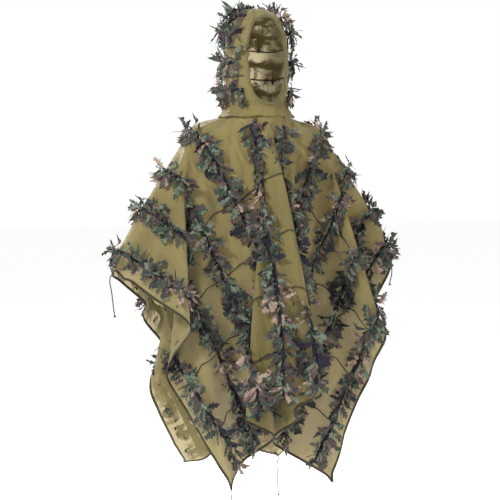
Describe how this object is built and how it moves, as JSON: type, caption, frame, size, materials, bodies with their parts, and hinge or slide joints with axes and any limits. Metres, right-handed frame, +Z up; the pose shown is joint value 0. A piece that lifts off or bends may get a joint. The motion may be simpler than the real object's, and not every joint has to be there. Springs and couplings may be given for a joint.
{
  "type": "ghillie poncho",
  "caption": "Hooded camouflage poncho of light cloth, hanging as worn, with rows of sewn-on leaf garlands, thin garnish cords, bound edges and tie cords.",
  "frame": {"origin": "middle of the neck seam, where the hood meets the collar and the wearer's neck comes through", "axes": "+Z up along the wearer's body, front and face opening towards -Y, the wearer's left hand towards +X"},
  "size_m": [0.8986, 0.459, 1.5149],
  "materials": {
    "poncho_cloth": "thin olive khaki polyester with a fine weave, slightly see-through where light is behind it",
    "edge_binding": "folded dark brown tape, stitched along both sides",
    "leaf_garland": "die-cut cloth leaves printed in dark green, sage, brown, tan and near black",
    "garnish_cord": "thin braided dark olive cord",
    "tie_cord": "braided dark cord, knotted at its end"
  },
  "bodies": {
    "cape": {"front_right_panel": "poncho_cloth", "front_left_panel": "poncho_cloth", "back_right_panel": "poncho_cloth", "back_left_panel": "poncho_cloth", "collar_band": "poncho_cloth", "right_side_binding": "edge_binding", "left_side_binding": "edge_binding", "front_hem_binding": "edge_binding", "back_hem_binding": "edge_binding", "front_garland_1": "leaf_garland", "back_garland_1": "leaf_garland", "front_garland_2": "leaf_garland", "back_garland_2": "leaf_garland", "front_garland_3": "leaf_garland", "back_garland_3": "leaf_garland", "front_garland_4": "leaf_garland", "back_garland_4": "leaf_garland", "front_garland_5": "leaf_garland", "back_garland_5": "leaf_garland", "front_garland_6": "leaf_garland", "back_garland_6": "leaf_garland", "front_garland_7": "leaf_garland", "back_garland_7": "leaf_garland", "front_garland_8": "leaf_garland", "back_garland_8": "leaf_garland", "front_garland_9": "leaf_garland", "back_garland_9": "leaf_garland", "front_garland_10": "leaf_garland", "back_garland_10": "leaf_garland", "front_garnish_cord_1": "garnish_cord", "front_garnish_cord_2": "garnish_cord", "front_garnish_cord_3": "garnish_cord", "front_garnish_cord_4": "garnish_cord", "back_garnish_cord_1": "garnish_cord", "back_garnish_cord_2": "garnish_cord", "back_garnish_cord_3": "garnish_cord", "back_garnish_cord_4": "garnish_cord", "right_hand_tie": "tie_cord", "right_hand_tie_knot": "tie_cord", "left_hand_tie": "tie_cord", "left_hand_tie_knot": "tie_cord", "front_right_corner_tie": "tie_cord", "front_right_corner_tie_knot": "tie_cord", "back_left_corner_tie": "tie_cord", "back_left_corner_tie_knot": "tie_cord"},
    "hood": {"hood_left_side": "poncho_cloth", "hood_right_side": "poncho_cloth", "face_opening_casing": "poncho_cloth", "hood_garland_1": "leaf_garland", "hood_garland_2": "leaf_garland", "hood_garland_3": "leaf_garland", "hood_garnish_cord_1": "garnish_cord", "hood_garnish_cord_2": "garnish_cord"}
  },
  "joints": [
    {"name": "hood_fold_back", "type": "hinge", "parent": "cape", "child": "hood", "pos_m": [0, 0.112, 0], "axis": [-1, 0, 0], "range_deg": [0, 70]}
  ]
}
